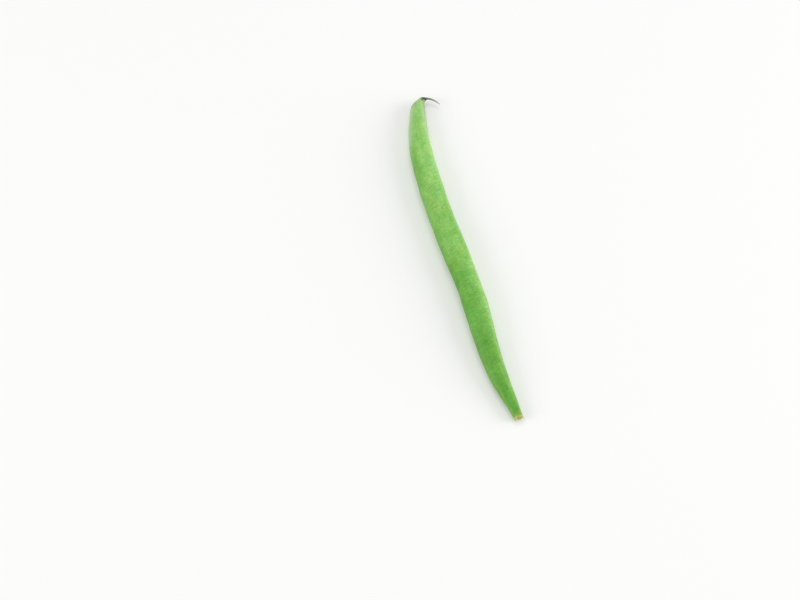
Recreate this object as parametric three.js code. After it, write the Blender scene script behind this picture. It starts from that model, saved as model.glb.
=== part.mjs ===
// Green bean: one fresh pod lying on its flat side, with its cut stem end and its curled tail.
// Millimetres, +Z up. It rests on z = 0 with the stem end at -X, the tail at +X, and the seam that
// the seeds hang from facing -Y. It grew as one piece, so it is one solid.
import * as THREE from 'three';

// Driving dimensions.
const flatness = 0.83; // thickness between the flat sides, as a share of the width between the seams
const roundness = 2.25; // exponent of the cross-section: 2 is an ellipse, more is boxier
const pressedDepth = 0.12; // how much of the underside is pressed flat where it lies
const halfLength = 65; // half the pod's length, over which it droops and twists
const tipDroop = 1.1; // how much lower the pod's middle is at the tip than at mid-length
const stemDroop = 1.7; // the same at the stem end
const tailDroop = 0.4; // how much further the tail's end hangs below its root
const stemRoll = THREE.MathUtils.degToRad(12); // how far the pod is twisted at the stem end
const seedCount = 7;
const firstSeed = -43; // where along X the seed next to the stem lies
const seedPitch = 14.5; // from one seed to the next
const seedSwell = 0.13; // how far a seed pushes each flat side out
const seedReach = 4.2; // how far along the pod that swelling spreads
const cutHollow = 0.3; // how deep the cut face is dished
const sides = 28; // facets round the pod
const stepsPerSpan = 4; // rings from one station to the next

// The outline from above, in stations from the cut stem end to the end of the tail. Each has a
// point on the seed seam and the point across from it on the back seam. At the tip the back seam
// swings round the seed seam, and both run on into the tail.
const podStations = [
  { seam: [-63.9, -3.6], back: [-64.1, -0.6] },
  { seam: [-58, -3.25], back: [-58.4, 0.8] },
  { seam: [-50.5, -2.85], back: [-51.2, 2.85] },
  { seam: [-40, -2.65], back: [-40.8, 4.15] },
  { seam: [-28, -3.3], back: [-28.2, 4.7] },
  { seam: [-15, -3.25], back: [-15.2, 4.9] },
  { seam: [0, -2.45], back: [-1, 6.2] },
  { seam: [15, -1.25], back: [14.2, 7.05] },
  { seam: [29, -1], back: [29, 7.4] },
  { seam: [41, -1.1], back: [42, 6.65] },
  { seam: [50, -1.9], back: [52, 4.9] },
  { seam: [56.5, -2.75], back: [59.2, 2.65] },
  { seam: [60.7, -3.4], back: [63.3, 0.6] },
  { seam: [63, -4.05], back: [65.15, -1.75] },
  { seam: [64.2, -4.6], back: [65.85, -3.85] },
];
const tailStations = [
  { seam: [64.55, -5.3], back: [65.5, -5.25] },
  { seam: [64.15, -6.35], back: [64.8, -6.65] },
  { seam: [63, -7.8], back: [63.35, -8.2] },
  { seam: [61.35, -9.25], back: [61.55, -9.5] },
];
const stations = [...podStations, ...tailStations];

const onPlan = (point) => new THREE.Vector3(point[0], point[1], 0);
const widthOf = (station) => onPlan(station.seam).distanceTo(onPlan(station.back));
const seamCurve = new THREE.CatmullRomCurve3(stations.map((station) => onPlan(station.seam)));
const backCurve = new THREE.CatmullRomCurve3(stations.map((station) => onPlan(station.back)));
const fullHalfWidth = Math.max(...stations.map(widthOf)) / 2;
const restHeight = fullHalfWidth * flatness + seedSwell - pressedDepth;
const tailRootY = podStations.at(-1).seam[1];
const tailEndY = tailStations.at(-1).seam[1];

// Height of the pod's middle over the surface that it lies on.
function middleHeight(x, y) {
  const droop = x > 0 ? tipDroop : stemDroop;
  const alongTail = THREE.MathUtils.clamp((tailRootY - y) / (tailRootY - tailEndY), 0, 1);
  const inTail = x > halfLength / 2 ? alongTail : 0;
  return restHeight - droop * (x / halfLength) ** 2 - tailDroop * inTail ** 2;
}

// The twist grows evenly from nothing at the tip to the full roll at the stem end.
function rollAt(x) {
  return (stemRoll * (halfLength - x)) / (2 * halfLength);
}

// Each seed swells the pod by a bell curve along its length.
function swellAt(x) {
  let swell = 0;
  for (let i = 0; i < seedCount; i++) {
    const away = (x - firstSeed - i * seedPitch) / seedReach;
    swell += seedSwell * Math.exp(-away * away);
  }
  return swell;
}

// A sine or cosine of the rounded section: it keeps its sign and is pushed outwards.
function pushed(value) {
  return Math.sign(value) * Math.abs(value) ** (2 / roundness);
}

// One closed ring of points round the pod, from the seed seam over the upper flat side.
function ringAt(share) {
  const seam = seamCurve.getPoint(share);
  const back = backCurve.getPoint(share);
  const across = seam.clone().sub(back);
  const halfWidth = across.length() / 2;
  const centre = seam.clone().add(back).multiplyScalar(0.5);
  centre.z = middleHeight(centre.x, centre.y);

  const roll = rollAt(centre.x);
  const flatAxis = across.normalize().multiplyScalar(Math.cos(roll));
  flatAxis.z = Math.sin(roll);
  const along = new THREE.Vector3(-across.y, across.x, 0).normalize();
  const upAxis = flatAxis.clone().cross(along).normalize();
  const fullness = halfWidth / fullHalfWidth;
  const halfThickness = halfWidth * flatness + swellAt(centre.x) * fullness;

  const ring = [];
  for (let i = 0; i < sides; i++) {
    const angle = (i / sides) * 2 * Math.PI;
    const point = centre.clone();
    point.addScaledVector(flatAxis, halfWidth * pushed(Math.cos(angle)));
    point.addScaledVector(upAxis, halfThickness * pushed(Math.sin(angle)));
    point.z = Math.max(point.z, 0);
    ring.push(point);
  }
  return ring;
}

function middleOf(ring) {
  const middle = new THREE.Vector3();
  ring.forEach((point) => middle.add(point));
  return middle.divideScalar(ring.length);
}

// Skin over the rings, closed by a fan at each end. The cut end is dished.
function skinOver(rings) {
  const points = rings.flat();
  const faces = [];
  for (let r = 0; r + 1 < rings.length; r++) {
    for (let i = 0; i < sides; i++) {
      const a = r * sides + i;
      const b = r * sides + ((i + 1) % sides);
      faces.push(a, a + sides, b);
      faces.push(b, a + sides, b + sides);
    }
  }

  const cutMiddle = middleOf(rings[0]);
  cutMiddle.x += cutHollow;
  const cutIndex = points.push(cutMiddle) - 1;
  const endIndex = points.push(middleOf(rings.at(-1))) - 1;
  const lastRing = (rings.length - 1) * sides;
  for (let i = 0; i < sides; i++) {
    const next = (i + 1) % sides;
    faces.push(cutIndex, i, next);
    faces.push(endIndex, lastRing + next, lastRing + i);
  }

  const geometry = new THREE.BufferGeometry().setFromPoints(points);
  geometry.setIndex(faces);
  geometry.computeVertexNormals();
  geometry.computeBoundingBox();
  return geometry;
}

const rings = [];
const steps = (stations.length - 1) * stepsPerSpan;
for (let step = 0; step <= steps; step++) {
  rings.push(ringAt(step / steps));
}

const podMaterial = new THREE.MeshStandardMaterial({ color: 0x7fbd57, roughness: 0.45, metalness: 0 });
const pod = new THREE.Mesh(skinOver(rings), podMaterial);
pod.name = 'bean_pod';

// The origin is under the middle of the pod's box.
const boxMiddle = pod.geometry.boundingBox.getCenter(new THREE.Vector3());
pod.position.set(-boxMiddle.x, -boxMiddle.y, 0);

const group = new THREE.Group();
group.add(pod);

export default group;
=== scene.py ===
import math
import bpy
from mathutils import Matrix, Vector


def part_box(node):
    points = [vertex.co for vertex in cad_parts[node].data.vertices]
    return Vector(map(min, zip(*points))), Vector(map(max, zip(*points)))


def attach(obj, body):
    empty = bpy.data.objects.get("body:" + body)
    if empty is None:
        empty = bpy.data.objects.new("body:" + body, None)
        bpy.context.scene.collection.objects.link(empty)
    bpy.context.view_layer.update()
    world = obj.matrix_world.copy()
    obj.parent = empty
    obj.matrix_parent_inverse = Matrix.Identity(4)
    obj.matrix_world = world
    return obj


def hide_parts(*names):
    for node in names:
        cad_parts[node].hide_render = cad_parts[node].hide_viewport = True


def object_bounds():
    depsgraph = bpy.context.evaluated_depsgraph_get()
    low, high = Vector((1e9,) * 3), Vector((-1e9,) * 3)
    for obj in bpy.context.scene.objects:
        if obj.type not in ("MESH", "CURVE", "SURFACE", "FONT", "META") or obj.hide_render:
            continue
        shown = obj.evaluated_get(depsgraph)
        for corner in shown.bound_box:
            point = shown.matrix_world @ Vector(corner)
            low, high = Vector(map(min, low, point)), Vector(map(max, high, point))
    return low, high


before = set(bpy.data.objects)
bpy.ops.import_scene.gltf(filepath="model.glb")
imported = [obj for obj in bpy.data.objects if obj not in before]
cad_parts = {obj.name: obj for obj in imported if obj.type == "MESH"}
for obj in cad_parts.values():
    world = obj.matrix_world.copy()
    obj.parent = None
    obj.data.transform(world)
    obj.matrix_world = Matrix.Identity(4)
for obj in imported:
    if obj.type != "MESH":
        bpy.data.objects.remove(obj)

from types import SimpleNamespace

import bpy
import numpy as np
from mathutils import Vector

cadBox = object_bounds()
mm = 0.001
rng = np.random.default_rng(11)


# shader wires

# a colour as it shows on a screen, 0 to 255, turned into the linear values that nodes take
def shown(red, green, blue):
    part = np.array([red, green, blue]) / 255
    linear = np.where(part <= 0.04045, part / 12.92, ((part + 0.055) / 1.055) ** 2.4)
    return (*linear.tolist(), 1.0)


# a new ramp has two stops, which take the first and the last of the list; the others are added
def setStops(elements, stops):
    elements[0].position, elements[0].color = stops[0]
    elements[-1].position, elements[-1].color = stops[-1]
    for place, colour in stops[1:-1]:
        elements.new(place).color = colour


# One output socket of a node tree. Sums, products and powers of wires add Math nodes, and make()
# adds any other node: its settings are set first, then the values or wires of its sockets.
class Wire:
    def __init__(self, tree, socket=None):
        self.tree = tree
        self.socket = socket

    def make(self, kind, settings=None, inputs=None, out=0):
        node = self.tree.nodes.new("ShaderNode" + kind)
        for name, value in (settings or {}).items():
            if name == "stops":
                setStops(node.color_ramp.elements, value)
            else:
                setattr(node, name, value)
        for name, value in (inputs or {}).items():
            if isinstance(value, Wire):
                self.tree.links.new(value.socket, node.inputs[name])
            else:
                node.inputs[name].default_value = value
        return Wire(self.tree, node.outputs[out] if node.outputs else None)

    def math(self, operation, first, second=0.0):
        return self.make("Math", {"operation": operation}, {0: first, 1: second})

    def __add__(self, other):
        return self.math("ADD", self, other)

    def __sub__(self, other):
        return self.math("SUBTRACT", self, other)

    def __rsub__(self, other):
        return self.math("SUBTRACT", other, self)

    def __mul__(self, other):
        return self.math("MULTIPLY", self, other)

    def __pow__(self, other):
        return self.math("POWER", self, other)

    __radd__ = __add__
    __rmul__ = __mul__

    # eased from 0 at the first value to 1 at the second, which may be the lower one
    def fade(self, start, end):
        inputs = {"Value": self, "From Min": start, "From Max": end}
        return self.make("MapRange", {"interpolation_type": "SMOOTHSTEP"}, inputs)

    # 1 where the wire is 0, and a bell curve of that width around it
    def bell(self, width):
        share = self * (1 / width)
        return self.math("EXPONENT", share * share * -1)

    # the same bell, with its top at another value
    def band(self, middle, width):
        return (self - middle).bell(width)

    # a value that the mesh keeps for each of its points
    def attribute(self, name, out="Fac"):
        return self.make("Attribute", {"attribute_name": name}, out=out)

    def stretched(self, x, y, z):
        return self.make("VectorMath", {"operation": "MULTIPLY"}, {0: self, 1: (x, y, z)})

    def noise(self, scale, detail=2.0, roughness=0.5):
        inputs = {"Vector": self, "Scale": scale, "Detail": detail, "Roughness": roughness}
        return self.make("TexNoise", None, inputs)

    # noise that is 0 on average, with its place stretched first
    def pattern(self, stretch, scale, detail, roughness):
        return self.stretched(*stretch).noise(scale, detail, roughness) - 0.5

    # distance from the nearest of scattered points, or with out="Color" a colour of that point's own
    def scatter(self, scale, out="Distance"):
        return self.make("TexVoronoi", None, {"Vector": self, "Scale": scale}, out=out)

    def ramp(self, stops):
        return self.make("ValToRGB", {"stops": stops}, {"Fac": self})

    # this colour with each of its channels multiplied
    def tinted(self, red, green, blue):
        shares = self.make("CombineXYZ", None, {0: red, 1: green, 2: blue})
        return self.make("VectorMath", {"operation": "MULTIPLY"}, {0: self, 1: shares})

    # this colour, covered by another as far as the mask says
    def under(self, colour, mask):
        return self.make("Mix", {"data_type": "RGBA"}, {0: mask, 6: self, 7: colour}, out=2)

    # a normal that makes this height show, where a height of 1 stands as far out as the depth, in mm
    def bump(self, depth):
        inputs = {"Strength": 0.5, "Distance": depth * mm, "Height": self}
        return self.make("Bump", None, inputs, out="Normal")


def newMaterial(name):
    material = bpy.data.materials.new(name)
    material.use_nodes = True
    material.node_tree.nodes.clear()
    return material, Wire(material.node_tree)


# camera

# towards a place round the pod: azimuth 0 is in front of its seed seam, elevation is above the floor
def direction(azimuth, elevation):
    azimuth, elevation = math.radians(azimuth), math.radians(elevation)
    flat = math.cos(elevation)
    return Vector((math.sin(azimuth) * flat, -math.cos(azimuth) * flat, math.sin(elevation)))


cameraView = {
    "azimuth": 256,  # degrees, seen from the stem end
    "elevation": 61,
    "distance": 0.468,
    "fieldOfView": 32,
    "aim": (-12.42, 24.8, -0.8),  # mm, from the middle of the pod's box on the floor
}


def makeCamera(view):
    low, high = cadBox
    middle = Vector(((low.x + high.x) / 2, (low.y + high.y) / 2, low.z))
    aim = middle + Vector(view["aim"]) * mm
    back = direction(view["azimuth"], view["elevation"])
    data = bpy.data.cameras.new("camera")
    data.angle = math.radians(view["fieldOfView"])
    data.clip_start, data.clip_end = 0.01, 50
    camera = bpy.data.objects.new("camera", data)
    camera.location = aim + back * view["distance"]
    camera.rotation_mode = "QUATERNION"
    camera.rotation_quaternion = (-back).to_track_quat("-Z", "Y")
    bpy.context.scene.collection.objects.link(camera)
    bpy.context.scene.camera = camera


makeCamera(cameraView)
print("camera made")


# mesh helpers

# Skins over grids of points, each closed round its columns, with its first and its last row closed to a
# point. Each attribute holds one array per grid, with a value or a vector for every point.
def skinMesh(name, grids, attributes):
    loops, sizes, first = [], [], 0
    for points in grids:
        rows, columns, _ = points.shape
        corner = first + np.arange(rows * columns).reshape(rows, columns)
        beside = np.roll(corner, -1, axis=1)
        quads = np.stack([corner[:-1], corner[1:], beside[1:], beside[:-1]], axis=-1)
        startPole = first + rows * columns
        startFan = np.stack([np.full(columns, startPole), corner[0], beside[0]], axis=-1)
        endFan = np.stack([np.full(columns, startPole + 1), beside[-1], corner[-1]], axis=-1)
        loops += [quads.ravel(), startFan.ravel(), endFan.ravel()]
        sizes += [np.full((rows - 1) * columns, 4), np.full(2 * columns, 3)]
        first += rows * columns + 2

    # the values of every grid's points in one row, each grid's followed by those of its two poles,
    # which take the mean of the row that they close
    def flattened(arrays):
        parts = []
        for values in arrays:
            flat = values.reshape(values.shape[0] * values.shape[1], -1)
            ends = [values[0].reshape(values.shape[1], -1), values[-1].reshape(values.shape[1], -1)]
            parts += [flat, np.array([end.mean(axis=0) for end in ends])]
        return np.concatenate(parts).astype(np.float32).ravel()

    loops, sizes = np.concatenate(loops), np.concatenate(sizes)
    mesh = bpy.data.meshes.new(name)
    mesh.vertices.add(first)
    mesh.vertices.foreach_set("co", flattened(grids))
    mesh.loops.add(len(loops))
    mesh.loops.foreach_set("vertex_index", loops.astype(np.int32))
    mesh.polygons.add(len(sizes))
    starts = np.concatenate([[0], np.cumsum(sizes)[:-1]])
    mesh.polygons.foreach_set("loop_start", starts.astype(np.int32))
    mesh.polygons.foreach_set("use_smooth", np.ones(len(sizes), bool))
    mesh.update(calc_edges=True)
    for key, arrays in attributes.items():
        vector = arrays[0].ndim == 3
        made = mesh.attributes.new(key, "FLOAT_VECTOR" if vector else "FLOAT", "POINT")
        made.data.foreach_set("vector" if vector else "value", flattened(arrays))
    mesh.validate()
    return mesh


def addPiece(name, mesh, material):
    mesh.materials.append(material)
    piece = bpy.data.objects.new(name, mesh)
    bpy.context.scene.collection.objects.link(piece)
    return piece


# natural cubic through the values: one tridiagonal system gives the bend at each knot, and between
# two knots the curve is the cubic that has those bends at its ends
def smoothCurve(knots, values, at):
    gap = np.diff(knots)
    slope = np.diff(values, axis=0) / gap[:, None]
    inner = np.arange(1, len(knots) - 1)
    system = np.eye(len(knots))
    system[inner, inner - 1] = gap[:-1]
    system[inner, inner] = 2 * (gap[:-1] + gap[1:])
    system[inner, inner + 1] = gap[1:]
    change = np.zeros_like(values)
    change[1:-1] = 6 * np.diff(slope, axis=0)
    bend = np.linalg.solve(system, change)
    span = np.clip(np.searchsorted(knots, at, side="right") - 1, 0, len(knots) - 2)
    width = gap[span][:, None]
    toNext = (knots[span + 1] - at)[:, None]
    fromLast = (at - knots[span])[:, None]
    cubic = (bend[span] * toNext**3 + bend[span + 1] * fromLast**3) / (6 * width)
    left = (values[span] / width - bend[span] * width / 6) * toNext
    right = (values[span + 1] / width - bend[span + 1] * width / 6) * fromLast
    return cubic + left + right


# 1 where the value is 0, falling with e to the minus square of the value over the width
def bell(value, width):
    return np.exp(-((value / width) ** 2))


# the pod's shape, in mm

pod = {
    # These repeat the CAD pod's driving dimensions. Each station pairs a point on the seed seam with
    # the point across from it on the back seam, seen from above, from the cut to the tail's end.
    "flatness": 0.83,
    "roundness": 2.25,
    "pressedDepth": 0.12,
    "halfLength": 65,
    "tipDroop": 1.1,
    "stemDroop": 1.7,
    "tailDroop": 0.4,
    "stemRoll": 12,
    "seedPlaces": -43 + 14.5 * np.arange(7),
    "seedSwell": 0.13,
    "seedReach": 4.2,
    "rootStation": 14,
    "stations": np.array([
        [(-63.9, -3.6), (-64.1, -0.6)],
        [(-58, -3.25), (-58.4, 0.8)],
        [(-50.5, -2.85), (-51.2, 2.85)],
        [(-40, -2.65), (-40.8, 4.15)],
        [(-28, -3.3), (-28.2, 4.7)],
        [(-15, -3.25), (-15.2, 4.9)],
        [(0, -2.45), (-1, 6.2)],
        [(15, -1.25), (14.2, 7.05)],
        [(29, -1), (29, 7.4)],
        [(41, -1.1), (42, 6.65)],
        [(50, -1.9), (52, 4.9)],
        [(56.5, -2.75), (59.2, 2.65)],
        [(60.7, -3.4), (63.3, 0.6)],
        [(63, -4.05), (65.15, -1.75)],
        [(64.2, -4.6), (65.85, -3.85)],
        [(64.55, -5.3), (65.5, -5.25)],
        [(64.15, -6.35), (64.8, -6.65)],
        [(63, -7.8), (63.35, -8.2)],
        [(61.35, -9.25), (61.55, -9.5)],
    ]),
    # the grid: places along the pod where its neck ends and its beak begins, and the steps between rows
    "columns": 120,
    "neckEnd": 3,
    "beakStart": 121,
    "neckStep": 0.1,
    "bodyStep": 0.21,
    "beakStep": 0.11,
    "capRows": 24,
    "seamDensity": 0.37,  # how strongly the columns crowd towards the two seams
    # relief beside a seam: distance from it, half-width and height of each ridge, groove and channel
    "seamRelief": [(0, 1, -0.12), (0.58, 0.3, 0.19), (0, 0.16, -0.22), (1.5, 0.6, -0.1), (2.7, 0.7, 0.06)],
    "backRelief": [(0, 1, -0.08), (0.45, 0.25, 0.09), (0, 0.12, -0.12), (1.4, 0.6, -0.06), (2.5, 0.6, 0.03)],
    "reliefWidth": 3,  # half-width of the pod from which relief has its full height
    "swells": 9,
    "swellLengths": (60, 7),
    "swellHeight": 0.035,
    "wrinkles": 7,
    "wrinkleLengths": (0.9, 3.2),
    "wrinkleHeight": 0.007,
    "wrinkleBow": 0.16,  # how far they lag for each mm from the seed seam
    "wrinkleWander": 0.35,
    "wrinkleRun": 9,  # lengths of its own after which a wrinkle comes back
    # ribs: how many times round, height, and how far they reach from the cut or back from the tail
    "neckRibs": (11, 0.05, 5),
    "tipRibs": (17, 0.035, 9),
    "tipSlimming": 0.12,
    "tailRibs": (5, 0.1, 0.7),  # times round, height as a share of the half-width, turn for each mm along
    "tailRounding": 0.35,  # length over which the tail's end closes
    # the cut: waves of its frayed rim (times round, phase, height) and how far back along the neck they
    # reach, how deep it is dished, how uneven it is, the lip under its rim, and its pit
    "fray": [(5, 1.0, 0.11), (11, 2.3, 0.07), (23, 0.4, 0.045)],
    "frayReach": 0.5,
    "cutDish": 0.3,
    "cutWaves": 0.05,
    "cutRipples": 0.03,
    "lipHeight": 0.12,
    "lipBand": (0.95, 0.05),  # share of the way from the middle to the rim, and half-width
    "pitDepth": 0.4,
    "pitSize": (0.55, 0.2),
}


# Where the rows of the skin lie and how they are turned. The two seams are smooth curves through the
# stations, and a row's middle, half-width and axes come from the two points where it meets them.
def podRows(pod):
    seamPoints, backPoints = pod["stations"][:, 0], pod["stations"][:, 1]
    middles = (seamPoints + backPoints) / 2
    knots = np.concatenate([[0], np.cumsum(np.linalg.norm(np.diff(middles, axis=0), axis=1))])
    rootAlong, length = knots[pod["rootStation"]], knots[-1]
    along = np.concatenate([
        np.arange(0, pod["neckEnd"], pod["neckStep"]),
        np.arange(pod["neckEnd"], pod["beakStart"], pod["bodyStep"]),
        np.linspace(pod["beakStart"], length, int((length - pod["beakStart"]) / pod["beakStep"])),
    ])
    seam = smoothCurve(knots, seamPoints, along)
    back = smoothCurve(knots, backPoints, along)
    centre = (seam + back) / 2
    halfWidth = np.linalg.norm(seam - back, axis=1) / 2
    fullHalfWidth = np.linalg.norm(seamPoints - backPoints, axis=1).max() / 2

    # the height of the middle droops with the square of the distance from mid-length, and in the tail
    # with the square of the way into it as well
    droop = np.where(centre[:, 0] > 0, pod["tipDroop"], pod["stemDroop"])
    intoTail = np.clip((along - rootAlong) / (length - rootAlong), 0, 1)
    restHeight = fullHalfWidth * pod["flatness"] + pod["seedSwell"] - pod["pressedDepth"]
    height = restHeight - droop * (centre[:, 0] / pod["halfLength"]) ** 2 - pod["tailDroop"] * intoTail**2

    # the axes: across from the back seam to the seed seam, rolled more towards the stem, then forward
    # towards the tail, and up
    roll = np.radians(pod["stemRoll"]) * (pod["halfLength"] - centre[:, 0]) / (2 * pod["halfLength"])
    flat = (seam - back) / (2 * halfWidth[:, None])
    across = np.column_stack([flat * np.cos(roll)[:, None], np.sin(roll)])
    forward = np.column_stack([-flat[:, 1], flat[:, 0], np.zeros(len(along))])
    up = np.cross(across, forward)
    return SimpleNamespace(
        along=along,
        length=length,
        rootAlong=rootAlong,
        intoTail=intoTail,
        spine=np.column_stack([centre, height]),
        halfWidth=halfWidth,
        fullHalfWidth=fullHalfWidth,
        across=across,
        forward=forward,
        up=up / np.linalg.norm(up, axis=1)[:, None],
    )


# The smooth section of each row is a rounded ellipse: the sine and cosine of the turn are raised to a
# power below 1, with their signs kept. Over each seed it is thicker by a bell curve.
def podSections(pod, rows):
    even = np.linspace(0, 2 * math.pi, pod["columns"], endpoint=False)
    turn = even - pod["seamDensity"] * np.sin(2 * even)
    power = 2 / pod["roundness"]
    sideways = np.sign(np.cos(turn)) * np.abs(np.cos(turn)) ** power
    upwards = np.sign(np.sin(turn)) * np.abs(np.sin(turn)) ** power
    fullness = rows.halfWidth / rows.fullHalfWidth
    swell = pod["seedSwell"] * bell(rows.spine[:, :1] - pod["seedPlaces"], pod["seedReach"]).sum(axis=1)
    halfThickness = rows.halfWidth * pod["flatness"] + swell * fullness
    acrossSize = rows.halfWidth[:, None] * sideways
    upSize = halfThickness[:, None] * upwards

    # how far each point lies from either seam, measured round the skin
    stepRound = np.hypot(np.diff(acrossSize, axis=1, append=acrossSize[:, :1]),
                         np.diff(upSize, axis=1, append=upSize[:, :1]))
    walked = np.concatenate([np.zeros((len(rows.along), 1)), np.cumsum(stepRound, axis=1)[:, :-1]], axis=1)
    girth = stepRound.sum(axis=1)[:, None]
    fromSeam = np.minimum(walked, girth - walked)
    return SimpleNamespace(
        turn=turn,
        sideways=sideways,
        upwards=upwards,
        halfThickness=halfThickness,
        acrossSize=acrossSize,
        upSize=upSize,
        fromSeam=fromSeam,
        fromBack=girth / 2 - fromSeam,
    )


# low swells: a sum of waves from long to short, each a cosine along the pod times a cosine that goes
# one to three times round it, with phases of their own
def lowSwells(pod, along, turn):
    total = np.zeros(np.broadcast(along, turn).shape)
    for waveLength in np.geomspace(*pod["swellLengths"], pod["swells"]):
        phase = rng.uniform(0, 2 * math.pi, 2)
        timesRound = rng.integers(1, 4)
        wave = np.cos(2 * math.pi * along / waveLength + phase[0]) * np.cos(timesRound * turn + phase[1])
        total = total + pod["swellHeight"] * wave
    return total


# cross wrinkles: a sum of short waves along the pod that lag with the distance from the seed seam, so
# that each wrinkle bows, and that weaken and strengthen again over a longer run
def crossWrinkles(pod, along, turn, fromSeam):
    total = np.zeros(fromSeam.shape)
    for waveLength in np.geomspace(*pod["wrinkleLengths"], pod["wrinkles"]):
        phase = rng.uniform(0, 2 * math.pi, 3)
        bowed = along + pod["wrinkleBow"] * fromSeam + pod["wrinkleWander"] * np.cos(2 * turn + phase[0])
        run = 2 * math.pi * along / (pod["wrinkleRun"] * waveLength)
        strength = 0.6 + 0.4 * np.cos(run + phase[1] + 1.5 * np.cos(turn + phase[2]))
        wave = np.cos(2 * math.pi * bowed / waveLength + phase[2])
        total = total + pod["wrinkleHeight"] * wave * strength
    return total


# Relief on the smooth section: bell-shaped ridges and grooves beside both seams, swells and wrinkles,
# ribs that die out from the cut and from the tail's root by bell curves, and ribs that wind round the
# tail. All but the tail's are lower where the pod is thin.
def podRelief(pod, rows, section):
    along, turn = rows.along[:, None], section.turn
    relief = lowSwells(pod, along, turn)
    relief = relief + crossWrinkles(pod, along, turn, section.fromSeam)
    for distance, width, height in pod["seamRelief"]:
        relief = relief + height * bell(section.fromSeam - distance, width)
    for distance, width, height in pod["backRelief"]:
        relief = relief + height * bell(section.fromBack - distance, width)
    timesRound, height, reach = pod["neckRibs"]
    relief = relief + height * np.cos(timesRound * turn) * bell(along, reach)
    timesRound, height, reach = pod["tipRibs"]
    ribs = height * np.cos(timesRound * turn + np.sin(3 * turn))
    relief = relief + (ribs - pod["tipSlimming"]) * bell(np.minimum(along - rows.rootAlong, 0), reach)
    relief = relief * np.clip(rows.halfWidth / pod["reliefWidth"], 0, 1)[:, None]
    timesRound, height, twist = pod["tailRibs"]
    windings = np.cos(timesRound * turn + twist * along)
    return relief + height * rows.halfWidth[:, None] * windings * rows.intoTail[:, None] ** 0.3


# The cut face is the first ring shrunk to nothing in steps. This gives the share of the way out of each
# step, and how deep each point lies: a dish, a pit that is wider between the seams than across them, a
# lip under the frayed rim, and crossing waves with ripples that both fade out towards the rim.
def cutFace(pod, turn, acrossSize, upSize, fray):
    reach = np.linspace(0, 1, pod["capRows"] + 1)[1:-1, None] ** 0.8
    pit = bell(acrossSize[0] * reach, pod["pitSize"][0]) * bell(upSize[0] * reach, pod["pitSize"][1])
    uneven = pod["cutWaves"] * np.cos(7 * turn + 9 * reach) * np.cos(3 * turn - 14 * reach)
    uneven = uneven + pod["cutRipples"] * np.cos(17 * turn + 5 * np.sin(8 * reach))
    lipPlace, lipWidth = pod["lipBand"]
    lip = -pod["lipHeight"] * bell(reach - lipPlace, lipWidth) * (1 + 0.6 * np.cos(5 * turn + 1))
    deep = pod["cutDish"] * (1 - reach**6) + pod["pitDepth"] * pit + lip - fray * reach**5
    return reach, deep + uneven * np.clip(1.4 * (1 - reach), 0, 1)


# The pod's whole skin: the cut face, then the rows of the body, each its smooth section moved outwards
# by the relief. Nothing lies below the floor, which presses the underside flat.
def podSurface(pod):
    rows = podRows(pod)
    section = podSections(pod, rows)
    relief = podRelief(pod, rows, section)

    # outwards is the ellipse's normal: each share of the turn over that half-size
    outX = section.sideways / rows.halfWidth[:, None]
    outZ = section.upwards / section.halfThickness[:, None]
    steep = np.hypot(outX, outZ)
    closing = np.sqrt(np.clip((rows.length - rows.along) / pod["tailRounding"], 0.02, 1))[:, None]
    acrossSize = (section.acrossSize + relief * outX / steep) * closing
    upSize = (section.upSize + relief * outZ / steep) * closing
    ring = acrossSize[..., None] * rows.across[:, None] + upSize[..., None] * rows.up[:, None]
    body = rows.spine[:, None] + ring

    # the rim of the cut is frayed: a sum of cosines round it, which dies out along the neck
    fray = sum(height * np.cos(times * section.turn + phase) for times, phase, height in pod["fray"])
    frayed = (fray * np.exp(-rows.along / pod["frayReach"])[:, None])[..., None]
    body = body - frayed * rows.forward[:, None]
    reach, deep = cutFace(pod, section.turn, acrossSize, upSize, fray)
    cap = rows.spine[0] + ring[0] * reach[..., None] + deep[..., None] * rows.forward[0]

    points = np.concatenate([cap, body])
    points[..., 2] = np.maximum(points[..., 2], 0)
    capLike = np.zeros((len(reach), pod["columns"]))
    acrossShare = np.broadcast_to(section.sideways, upSize.shape)
    place = np.stack([np.broadcast_to(rows.along[:, None], upSize.shape), acrossSize, upSize], axis=-1)
    attributes = {
        "skinPlace": [np.concatenate([place[0] * reach[..., None], place])],
        "acrossShare": [np.concatenate([capLike + section.sideways, acrossShare])],
        "fromSeam": [np.concatenate([capLike + section.fromSeam[0], section.fromSeam])],
        "fromBack": [np.concatenate([capLike + section.fromBack[0], section.fromBack])],
        "cutFace": [np.concatenate([capLike + 1, np.zeros(upSize.shape)])],
        "cutReach": [np.concatenate([capLike + reach, np.ones(upSize.shape)])],
    }
    cut = (rows.spine[0], ring[0], rows.forward[0])
    return points, attributes, SimpleNamespace(length=rows.length, rootAlong=rows.rootAlong, cut=cut)


# puts points in mm, in the pod's own plan, where the CAD pod lies
def toFrame(points, shift):
    return (points + shift) * mm


podPoints, podAttributes, podFacts = podSurface(pod)
low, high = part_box("bean_pod")
flatPoints = podPoints.reshape(-1, 3)
podShift = np.array(low + high) / 2 / mm - (flatPoints.min(axis=0) + flatPoints.max(axis=0)) / 2
podShift[2] = 0
print("pod surface worked out:", podPoints.shape, "length", round(podFacts.length, 2), "mm")


# the pod's skin

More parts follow.
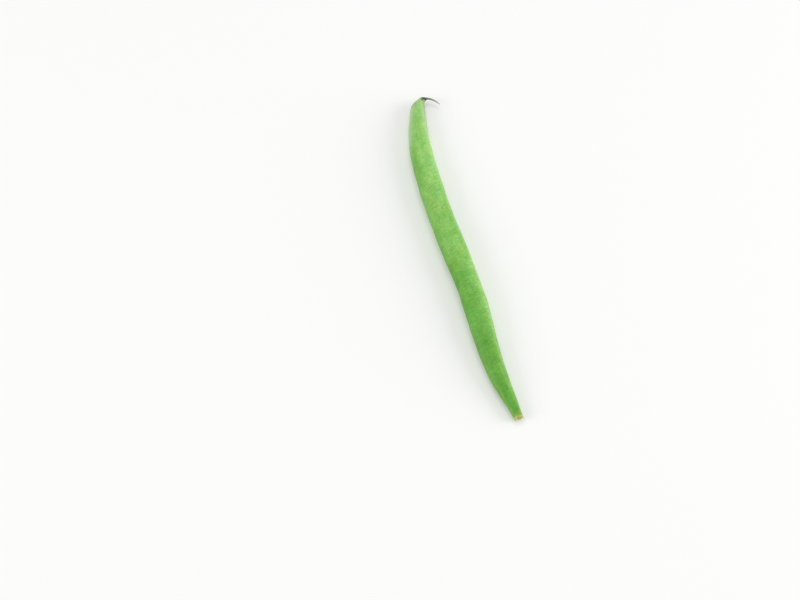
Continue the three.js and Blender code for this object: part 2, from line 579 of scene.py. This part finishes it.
skin = {
    # greens along the pod, lighter and yellower towards the tip, partly the pod's own colour and partly
    # painted light on the tip half: share of the way from the cut to the tail's root, and the colour there
    "greensAndTipLight": [
        (0.0, shown(89, 155, 46)),
        (0.1, shown(84, 153, 42)),
        (0.2, shown(90, 157, 47)),
        (0.34, shown(104, 169, 60)),
        (0.46, shown(126, 185, 82)),
        (0.62, shown(134, 189, 92)),
        (0.75, shown(134, 190, 90)),
        (0.88, shown(141, 196, 101)),
        (1.0, shown(138, 194, 102)),
    ],
    # the tail: share of the way from its root to its end, and the colour there
    "tail": [
        (0.0, shown(44, 62, 32)),
        (0.08, shown(84, 98, 68)),
        (0.25, shown(120, 128, 102)),
        (0.6, shown(144, 148, 130)),
        (1.0, shown(184, 188, 168)),
    ],
    # paints over the greens
    # the seed side's paler green, which also carries a painted highlight of the light from that side
    "seamSide": shown(166, 210, 122),
    # painted shade: a darker, deeper green on the back edge and on a patch of the back towards the tip
    "paintedShadeGreen": shown(86, 154, 34),
    # the back's grey towards the tip, partly its own colour and partly a painted sheen
    "backGrey": shown(156, 196, 128),
    "seamPale": shown(166, 206, 110),
    "seamThread": shown(104, 116, 56),
    # a painted sheen, pale and grey, on the rims and the seed side towards the tip
    "rimPale": shown(184, 214, 162),
    "rimDry": shown(158, 158, 126),
    "tipGrey": shown(160, 196, 138),
    "tipDark": shown(84, 112, 66),
    "darkLine": shown(84, 116, 62),
    "pore": shown(176, 216, 130),
    "speck": shown(126, 104, 50),
    "cutOlive": shown(150, 168, 58),
    "cutStraw": shown(200, 200, 128),
    "cutGreen": shown(168, 196, 104),
    "cutPale": shown(220, 222, 164),
    "cutBrown": shown(120, 92, 46),
    "cutBundle": shown(104, 82, 38),
    # how far each layer of paint covers what is under it, at its strongest
    "cover": {
        "seamSide": 0.5,
        "seamSideTip": 0.5,
        # painted sheen on the back of the neck and its back rim
        "neckBack": 0.16,
        "neckBackRim": 0.22,
        "greenEdge": 0.9,
        "greenBack": 0.7,
        "backGrey": 0.65,
        "backSeam": 0.35,
        "seamThread": 0.85,
        "backLine": 0.4,
        "rimPale": 0.75,
        "tipGrey": 0.7,
        "tipDark": 0.75,
        "rimDry": 0.9,
        "gatheredLines": 0.8,
        "pore": 0.25,
        "speck": 0.5,
        "cutOlive": 0.6,
        "cutStraw": 0.8,
        "cutBundle": 0.8,
        "cutEdge": 0.6,
    },
    # patterns: how many times finer along, across and up the pod, then scale, detail and roughness
    "patches": ((1, 1, 1), 0.09, 2, 0.5),
    "clouds": ((0.7, 1, 1), 0.4, 3, 0.55),
    "hues": ((0.6, 1, 1), 0.24, 2, 0.5),
    "mottles": ((1, 1, 1), 1.5, 3, 0.6),
    "streaks": ((1.9, 0.34, 0.34), 1.0, 4, 0.68),
    "hairStreaks": ((4.2, 0.8, 0.8), 1.0, 3, 0.6),
    "veins": ((0.14, 1.5, 1.5), 1.0, 3, 0.6),
    "grain": ((1.6, 0.8, 0.8), 3.4, 2, 0.6),
    "flesh": (1.9, 4, 0.65),  # of the cut: scale, detail and roughness
    "streakBow": 0.3,  # how far the streaks lag for each mm from the seed seam
    # scattered points: how many there are along a mm
    "pores": 1.3,
    "specks": 0.42,
    "bundles": 2.4,
    # how far each pattern lightens and darkens the skin
    "light": {
        "patches": 0.25,
        "clouds": 0.42,
        "mottles": 0.14,
        "streaks": 0.52,
        "hairStreaks": 0.5,
        "veins": 0.2,
        "grain": 0.75,
        "neckVeins": 0.6,
        # painted highlight: hair streaks lit along the seed side
        "seamFringe": 0.35,
    },
    # the powers by which red and blue follow that light, where green's is 1
    "redPower": 1.5,
    "bluePower": 2.5,
    # how far two of the patterns turn the skin yellower and bluer
    "hueWarmth": 0.45,
    "cloudWarmth": 0.06,
    # stretches of the pod, in the same shares as the greens: nothing at the first, full at the second
    "stemHalf": (0.5, 0.4),
    "stemRise": (-0.3, 0.34),
    "neckSide": (0.3, 0.18),
    "neckBack": (0.32, 0.16),
    "offCut": (-0.08, 0.1),
    "neckRims": (0.22, 0.1),
    "nearCut": (0.25, 0.04),
    "fineHalf": (0.55, 0.3),
    "calmTip": (0.74, 0.86),
    "greyTip": (0.8, 0.9),
    "sheenRims": (0.72, 0.95),
    "dryRims": (0.84, 0.92),
    # bands round the pod, in the same shares: where each is full, and its width
    "paleLitBand": (0.84, 0.11),
    "tipSheenBand": (0.92, 0.05),
    "shadedEdgeBand": (0.35, 0.25),
    "shadedPatchBand": (0.76, 0.07),
    # stretches in mm from the tail's root, which is at 0, with the pod before it below 0
    "greyReach": (-6, -0.5),
    "darkReach": (-2.2, -0.4),
    "lineReach": (-13, -1),
    "tailEdge": (-1.1, 0.1),
    # stretches in mm from the cut
    "oliveReach": (2.4, 0.2),
    "dryReach": (0.5, 0.1),
    # half-widths in mm of the bands beside the seed seam and the back seam
    "width": {
        "seamBand": 0.9,
        "seamThread": 0.15,
        "seamRim": 1.3,
        "seamDry": 1.1,
        "backBand": 0.6,
        "backLine": 0.11,
        "backRim": 2.4,
        "backDry": 0.6,
        "neckBack": 0.8,
    },
    # roughness on average, and how far patterns and dryness add to it
    "roughness": 0.46,
    "dull": {"clouds": 0.18, "hairStreaks": 0.16, "mottles": 0.1, "dryness": 0.3},
    # depth of the finest relief in mm, and what it is made of
    "bumpDepth": 0.1,
    "bumps": {"streaks": 0.5, "hairStreaks": 0.6, "grain": 0.5, "pores": -0.12, "flesh": 3},
    "subsurface": 0.12,
    "sheen": 0.22,
}


# Everything that the paints read, as wires: where on the pod a point lies, and the patterns there. A
# pattern that is added to a place before its fade makes the edge of the paint wander.
def skinWires(start, skin, facts):
    here = SimpleNamespace()
    here.place = start.attribute("skinPlace", "Vector")
    here.fromSeam, here.fromBack = start.attribute("fromSeam"), start.attribute("fromBack")
    here.acrossShare = start.attribute("acrossShare")
    here.cutFace, here.cutReach = start.attribute("cutFace"), start.attribute("cutReach")
    here.along = start.make("SeparateXYZ", None, {0: here.place})
    here.share = here.along * (1 / facts.rootAlong)
    here.pastRoot = here.along - facts.rootAlong
    here.tailShare = here.pastRoot * (1 / (facts.length - facts.rootAlong))

    here.patches = here.place.pattern(*skin["patches"])
    here.clouds = here.place.pattern(*skin["clouds"])
    here.hues = here.place.pattern(*skin["hues"])
    here.mottles = here.place.pattern(*skin["mottles"])
    here.veins = here.place.pattern(*skin["veins"])
    here.grain = here.place.pattern(*skin["grain"])
    lag = start.make("CombineXYZ", None, {0: here.fromSeam * skin["streakBow"]})
    bowed = start.make("VectorMath", {"operation": "ADD"}, {0: here.place, 1: lag})
    here.streaks = bowed.pattern(*skin["streaks"])
    here.hairStreaks = bowed.pattern(*skin["hairStreaks"])
    here.pores = here.place.scatter(skin["pores"])
    here.flesh = here.place.noise(*skin["flesh"])

    # the paler side next to the seed seam, partly its own paler green and partly a painted highlight of the
    # light
    # from that side: which side, and how pale and lit it is along the pod, most of all from mid-length to
    # the neck and before the tip
    neckShift = here.share.fade(*skin["neckSide"]) * 0.18
    here.seamSide = (here.acrossShare + here.clouds * 0.3 + here.veins * 0.2 - neckShift).fade(0.0, 1.0)
    stemPaleAndLit = here.share.fade(*skin["stemHalf"]) * here.share.fade(*skin["stemRise"])
    here.pale = stemPaleAndLit + here.share.band(*skin["paleLitBand"]) * 1.3 + 0.1

    # bands beside the seams that are narrower in some places than in others, and where the tail begins
    wander = here.place.stretched(0.35, 1, 1).noise(1.0, 3) * 0.5 + 0.75
    here.bySeam, here.byBack = here.fromSeam * wander, here.fromBack * wander
    here.rims = here.bySeam.bell(skin["width"]["seamRim"]) + here.byBack.bell(skin["width"]["backRim"])
    here.tail = (here.pastRoot + here.grain * 0.8 + here.veins * 3).fade(*skin["tailEdge"])
    return here


# the greens along the pod with painted light towards the tip, paler on the side of the seed seam, partly a
# painted highlight, with painted shade on the back edge and on a patch of the back, a painted sheen on the
# back at the neck and a greyer back towards the tip that is partly painted sheen
def podGreens(here, skin):
    share, cover, width = here.share, skin["cover"], skin["width"]
    # the ramp holds painted light as well as green: the tip half is lighter partly as if it caught more
    # light
    colour = (share + here.patches * 0.3).ramp(skin["greensAndTipLight"])
    # paler seed side: partly its own colour, partly a painted highlight
    colour = colour.under(skin["seamSide"], here.seamSide * here.pale * cover["seamSide"])
    # painted sheen on the seed side before the tip
    tipSheenSide = here.seamSide * share.band(*skin["tipSheenBand"])
    colour = colour.under(skin["rimPale"], tipSheenSide * cover["seamSideTip"])
    backSide = (here.acrossShare + here.clouds * 0.3).fade(-0.1, -0.9)
    backEdge = (here.acrossShare + here.clouds * 0.2).fade(-0.6, -1.0)
    # painted sheen: a paler back and back rim at the neck
    neckBack = backSide * cover["neckBack"] + here.fromBack.bell(width["neckBack"]) * cover["neckBackRim"]
    neckBack = neckBack * share.fade(*skin["neckBack"]) * share.fade(*skin["offCut"])
    colour = colour.under(skin["seamSide"], neckBack)
    # painted shade on the back edge at mid-length and on a patch of the back towards the tip
    greenEdge = backEdge * share.band(*skin["shadedEdgeBand"]) * cover["greenEdge"]
    greenBack = backSide * share.band(*skin["shadedPatchBand"]) * cover["greenBack"]
    colour = colour.under(skin["paintedShadeGreen"], greenEdge + greenBack)
    # a greyer back towards the tip, partly painted sheen
    return colour.under(skin["backGrey"], backSide * share.fade(*skin["greyTip"]) * cover["backGrey"])


# The patterns lighten and darken the colour. Red and blue follow them more strongly than green, so that
# what is lighter is also paler, and warm patches are yellower. Near the cut, veins replace the streaks.
def patterned(colour, here, skin):
    gain = skin["light"]
    nearCut = here.share.fade(*skin["nearCut"])
    fine = here.streaks * gain["streaks"] + here.hairStreaks * gain["hairStreaks"]
    fine = fine + here.grain * gain["grain"]
    light = fine * (here.share.fade(*skin["fineHalf"]) * 0.3 - nearCut * 0.5 + 1) + 1
    light = light + here.clouds * (1 - here.share.fade(*skin["calmTip"]) * 0.4) * gain["clouds"]
    light = light + here.patches * gain["patches"] + here.mottles * gain["mottles"]
    light = light + here.veins * (nearCut * gain["neckVeins"] + gain["veins"])
    # painted highlight on the hairs along the seed side
    light = light + here.hairStreaks * here.seamSide * gain["seamFringe"]
    warmth = here.hues * skin["hueWarmth"] + here.clouds * skin["cloudWarmth"]
    red = light ** skin["redPower"] * (warmth + 1)
    blue = light ** skin["bluePower"] * (1 - warmth)
    return colour.tinted(red, light, blue)


# the seams: a pale band each, an olive thread that shows in places in the seed seam's groove, and a
# dark line along the back seam
def seamPaint(colour, here, skin):
    cover, width = skin["cover"], skin["width"]
    # the pale ridges are the seams' own colour; along the seed seam their strength follows the seed side's
    # paleness, so they carry part of its painted highlight
    pale = here.pale * 0.4 + here.share.fade(*skin["neckRims"]) * 0.2 + 0.15
    colour = colour.under(skin["seamPale"], here.bySeam.bell(width["seamBand"]) * pale)
    colour = colour.under(skin["seamPale"], here.byBack.bell(width["backBand"]) * cover["backSeam"])
    thread = here.fromSeam.bell(width["seamThread"]) * here.place.noise(0.3, 3).fade(0.25, 0.6)
    colour = colour.under(skin["seamThread"], thread * cover["seamThread"])
    return colour.under(skin["darkLine"], here.fromBack.bell(width["backLine"]) * cover["backLine"])


# the tip: both rims get a painted sheen and dry out, the skin greys and then darkens, and dark lines gather
# towards the tail's root
def tipPaint(colour, here, skin):
    cover, width = skin["cover"], skin["width"]
    # painted sheen along both rims towards the tip
    sheenRims = here.rims * here.share.fade(*skin["sheenRims"])
    colour = colour.under(skin["rimPale"], sheenRims * cover["rimPale"])
    grey = (here.pastRoot + here.veins * 4).fade(*skin["greyReach"])
    colour = colour.under(skin["tipGrey"], grey * cover["tipGrey"])
    dark = (here.pastRoot + here.veins * 3).fade(*skin["darkReach"])
    colour = colour.under(skin["tipDark"], dark * cover["tipDark"])
    dryRims = here.fromSeam.bell(width["seamDry"]) + here.fromBack.bell(width["backDry"])
    dryRims = dryRims * here.share.fade(*skin["dryRims"])
    colour = colour.under(skin["rimDry"], dryRims * cover["rimDry"])
    lines = here.veins.fade(0.0, 0.14) * (here.rims + 0.25)
    lines = lines * (here.pastRoot + here.mottles * 4).fade(*skin["lineReach"])
    return colour.under(skin["darkLine"], lines * cover["gatheredLines"])


# pale pores close together, and brown specks on a few of many scattered points
def poresAndSpecks(colour, here, skin):
    pores = here.pores.fade(0.16, 0.08) * here.mottles.fade(-0.1, 0.15)
    colour = colour.under(skin["pore"], pores * skin["cover"]["pore"])
    ownColour = here.place.scatter(skin["specks"], "Color")
    chosen = here.place.make("SeparateColor", None, {0: ownColour}).fade(0.74, 0.78)
    specks = (here.place.scatter(skin["specks"]) + here.grain * 0.12).fade(0.12, 0.06) * chosen
    return colour.under(skin["speck"], specks * skin["cover"]["speck"])


# the tail, dark where it leaves the pod, then drier and paler to its end
def tailPaint(colour, here, skin):
    tailColour = (here.tailShare + here.mottles * 0.2 + here.veins * 0.2).ramp(skin["tail"])
    return colour.under(tailColour, here.tail)


# the neck turns olive and its edge dries out next to the cut; the cut face is green-straw flesh with a
# ring of brown fibre bundles, a darker middle and a browned edge
def cutPaint(colour, here, skin):
    cover = skin["cover"]
    olive = (here.along + here.clouds * 2).fade(*skin["oliveReach"])
    colour = colour.under(skin["cutOlive"], olive * cover["cutOlive"])
    dryEdge = (here.along + here.hairStreaks * 0.9).fade(*skin["dryReach"])
    colour = colour.under(skin["cutStraw"], dryEdge * cover["cutStraw"])
    fleshStops = [(0.32, skin["cutGreen"]), (0.5, skin["cutStraw"]), (0.68, skin["cutPale"])]
    cutColour = here.flesh.ramp(fleshStops)
    bundles = here.place.scatter(skin["bundles"]).fade(0.3, 0.12) * here.cutReach.band(0.7, 0.14)
    cutColour = cutColour.under(skin["cutBundle"], bundles * cover["cutBundle"])
    brownMiddle = here.cutReach.fade(0.45, 0.05) * here.flesh.fade(0.35, 0.6)
    cutColour = cutColour.under(skin["cutBrown"], brownMiddle)
    brownEdge = here.cutReach.fade(0.9, 0.98) * here.flesh.fade(0.45, 0.6)
    cutColour = cutColour.under(skin["cutBrown"], brownEdge * cover["cutEdge"])
    return colour.under(cutColour, here.cutFace)


def beanSkin(skin, facts):
    material, start = newMaterial("bean_skin")
    here = skinWires(start, skin, facts)
    colour = patterned(podGreens(here, skin), here, skin)
    for paint in (seamPaint, tipPaint, poresAndSpecks, tailPaint, cutPaint):
        colour = paint(colour, here, skin)

    # the tail and the cut are dry, so they are duller
    dull = skin["dull"]
    dryness = start.math("MAXIMUM", here.tail, here.cutFace)
    roughness = here.clouds * dull["clouds"] + here.hairStreaks * dull["hairStreaks"]
    roughness = roughness + here.mottles * dull["mottles"] + dryness * dull["dryness"] + skin["roughness"]

    # fine relief: cross wrinkles, grain, dents at the pores, and fibres on the cut
    bumps = skin["bumps"]
    wrinkles = here.streaks * bumps["streaks"] + here.hairStreaks * bumps["hairStreaks"]
    relief = wrinkles + here.grain * bumps["grain"] + here.pores.fade(0.2, 0.05) * bumps["pores"]
    relief = relief + here.cutFace * here.flesh * bumps["flesh"]

    shader = start.make("BsdfPrincipled", {"subsurface_method": "RANDOM_WALK"}, {
        "Base Color": colour,
        "Roughness": roughness,
        "Normal": relief.bump(skin["bumpDepth"]),
        "IOR": 1.42,
        "Specular IOR Level": 0.4,
        "Subsurface Weight": skin["subsurface"],
        "Subsurface Radius": (0.35, 1.0, 0.2),
        "Subsurface Scale": 1.2 * mm,
        "Sheen Weight": skin["sheen"],
        "Sheen Roughness": 0.35,
        "Sheen Tint": shown(228, 240, 214),
    })
    start.make("OutputMaterial", None, {"Surface": shader})
    return material


podMesh = skinMesh("bean_pod_skin", [toFrame(podPoints, podShift)], podAttributes)
podPiece = addPiece("bean_pod_skin", podMesh, beanSkin(skin, podFacts))
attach(podPiece, "root")
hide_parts("bean_pod")
print("pod made:", sum(len(face.vertices) - 2 for face in podMesh.polygons), "triangles")


# the fibres that fray out of the cut

fibres = {
    "count": 18,
    "length": (0.25, 0.95),  # mm, the shortest and the longest
    "radius": (0.035, 0.075),
    "tipShare": 0.3,  # of the radius, at the tip
    "rootReach": (0.8, 0.97),  # where they start, as a share of the way from the cut's middle to its rim
    "rootDepth": 0.2,
    "rootJitter": 3,  # columns of the pod by which a fibre may leave its even place round the rim
    "splay": 0.35,  # how far outwards they lean, of which each takes a share
    "splayShares": (0.2, 1),
    "waver": 0.12,  # spread of their headings
    "curl": 0.5,
    "rows": 8,
    "sides": 7,
    "straw": shown(206, 204, 140),
    "pale": shown(226, 226, 176),
    "brown": shown(140, 108, 62),
    "brownCover": 0.8,
    "bumpDepth": 0.03,
    "roughness": 0.75,
}


# Each fibre is a tube round a curve that leaves the cut's rim backwards and a little outwards and bends
# sideways with the square of the way along it, while its radius shrinks evenly towards the tip.
def fibreGrids(fibres, cut):
    middle, ring, forward = cut
    count = fibres["count"]
    even = np.arange(count) * len(ring) / count
    column = (even + rng.uniform(0, fibres["rootJitter"], count)).astype(int) % len(ring)
    outward = ring[column] / np.linalg.norm(ring[column], axis=1)[:, None]
    reach = rng.uniform(*fibres["rootReach"], (count, 1))
    root = middle + ring[column] * reach + fibres["rootDepth"] * forward
    heading = -forward + fibres["splay"] * outward * rng.uniform(*fibres["splayShares"], (count, 1))
    heading = heading + rng.normal(0, fibres["waver"], (count, 3))
    heading /= np.linalg.norm(heading, axis=1)[:, None]
    length = rng.uniform(*fibres["length"], (count, 1, 1)) + fibres["rootDepth"]
    bend = rng.normal(0, fibres["curl"], (count, 1, 3))
    share = np.linspace(0, 1, fibres["rows"])[:, None]
    spine = root[:, None] + length * (share * heading[:, None] + 0.5 * share**2 * bend)
    side = np.cross(heading, outward)
    side /= np.linalg.norm(side, axis=1)[:, None]
    other = np.cross(side, heading)
    turn = np.linspace(0, 2 * math.pi, fibres["sides"], endpoint=False)[:, None]
    circle = np.cos(turn) * side[:, None] + np.sin(turn) * other[:, None]
    radius = rng.uniform(*fibres["radius"], (count, 1)) * (1 - (1 - fibres["tipShare"]) * share[:, 0])
    points = spine[:, :, None] + radius[..., None, None] * circle[:, None]
    shares = np.broadcast_to(share, (fibres["rows"], fibres["sides"]))
    return list(points), {"fibreShare": [shares] * count}


# mottled straw that browns towards the tip, with fine lines as relief
def fibreSkin(fibres):
    material, start = newMaterial("dry_fibre")
    place = start.make("TexCoord", out="Object").stretched(1 / mm, 1 / mm, 1 / mm)
    mottles = place.noise(2.5, 3, 0.6) - 0.5
    lines = place.stretched(0.6, 5, 5).noise(1.5, 2)
    colour = (mottles + 0.5).ramp([(0.35, fibres["straw"]), (0.65, fibres["pale"])])
    browned = (start.attribute("fibreShare") + mottles * 1.5).fade(0.55, 1.0)
    colour = colour.under(fibres["brown"], browned * fibres["brownCover"])
    shader = start.make("BsdfPrincipled", None, {
        "Base Color": colour,
        "Roughness": mottles * 0.2 + fibres["roughness"],
        "Normal": lines.bump(fibres["bumpDepth"]),
        "Specular IOR Level": 0.3,
        "Subsurface Weight": 0.1,
        "Subsurface Scale": 0.3 * mm,
    })
    start.make("OutputMaterial", None, {"Surface": shader})
    return material


fibrePoints, fibreAttributes = fibreGrids(fibres, podFacts.cut)
fibreMesh = skinMesh("cut_fibres", [toFrame(grid, podShift) for grid in fibrePoints], fibreAttributes)
fibrePiece = addPiece("cut_fibres", fibreMesh, fibreSkin(fibres))
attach(fibrePiece, "root")
print("cut fibres made:", fibres["count"])


# floor and light

studio = {
    "floorSize": 8.0,
    "floorGap": 0.05,  # mm, so that the pressed underside and the floor don't share a plane
    "floorColour": shown(239, 239, 238),
    # what the floor adds for the camera near the pod and far from it, and between which distances it
    # changes, in m
    "nearGlow": 0.065,
    "farGlow": 0.6,
    "glowRange": (0.25, 1.6),
    "worldFill": 0.54,
    # each lamp: azimuth and elevation round the pod in degrees, distance and size in m, power in W
    "lamps": {
        "rightBox": (-20, 22, 1.4, 1.1, 10.6),
        "leftBox": (185, 30, 1.4, 0.8, 5.4),
        "topBox": (90, 75, 1.5, 1.2, 5.6),
    },
}


# a square of pale paper, which glows for the camera alone and more so far away, so that it meets the
# white world without an edge
def makeFloor(studio):
    material, start = newMaterial("floor_paper")
    paper = start.make("BsdfDiffuse", None, {"Color": studio["floorColour"]})
    place = start.make("TexCoord", out="Object")
    away = start.make("VectorMath", {"operation": "LENGTH"}, {0: place}, out="Value")
    farShare = away.fade(*studio["glowRange"])
    lift = farShare * (studio["farGlow"] - studio["nearGlow"]) + studio["nearGlow"]
    glow = start.make("Emission", None, {"Color": (1, 1, 1, 1), "Strength": lift})
    lifted = start.make("AddShader", None, {0: paper, 1: glow})
    isCamera = start.make("LightPath", out="Is Camera Ray")
    shader = start.make("MixShader", None, {0: isCamera, 1: paper, 2: lifted})
    start.make("OutputMaterial", None, {"Surface": shader})
    half = studio["floorSize"] / 2
    drop = -studio["floorGap"] * mm
    corners = [(-half, -half, drop), (half, -half, drop), (half, half, drop), (-half, half, drop)]
    mesh = bpy.data.meshes.new("floor")
    mesh.from_pydata(corners, [], [(0, 1, 2, 3)])
    floor = addPiece("floor", mesh, material)


# white where the camera, gloss or glass sees it, and a dimmer white as light on the pod
def makeWorld(studio):
    world = bpy.data.worlds.new("studio")
    bpy.context.scene.world = world
    world.use_nodes = True
    world.node_tree.nodes.clear()
    start = Wire(world.node_tree)
    camera = start.make("LightPath", out="Is Camera Ray")
    glossy = start.make("LightPath", out="Is Glossy Ray")
    through = start.make("LightPath", out="Is Transmission Ray")
    white = start.make("Background", None, {"Color": (1, 1, 1, 1), "Strength": 1.0})
    fill = start.make("Background", None, {"Color": (1, 1, 1, 1), "Strength": studio["worldFill"]})
    seen = start.math("MINIMUM", camera + glossy + through, 1.0)
    both = start.make("MixShader", None, {0: seen, 1: fill, 2: white})
    start.make("OutputWorld", None, {"Surface": both})


def makeLamps(studio):
    for name, (azimuth, elevation, distance, size, power) in studio["lamps"].items():
        away = direction(azimuth, elevation)
        data = bpy.data.lights.new(name, "AREA")
        data.shape, data.size, data.energy = "DISK", size, power
        lamp = bpy.data.objects.new(name, data)
        lamp.location = away * distance
        lamp.rotation_euler = away.to_track_quat("Z", "Y").to_euler()
        bpy.context.scene.collection.objects.link(lamp)


makeFloor(studio)
makeWorld(studio)
makeLamps(studio)
bpy.context.scene.view_settings.view_transform = "Standard"
print("floor and light made")
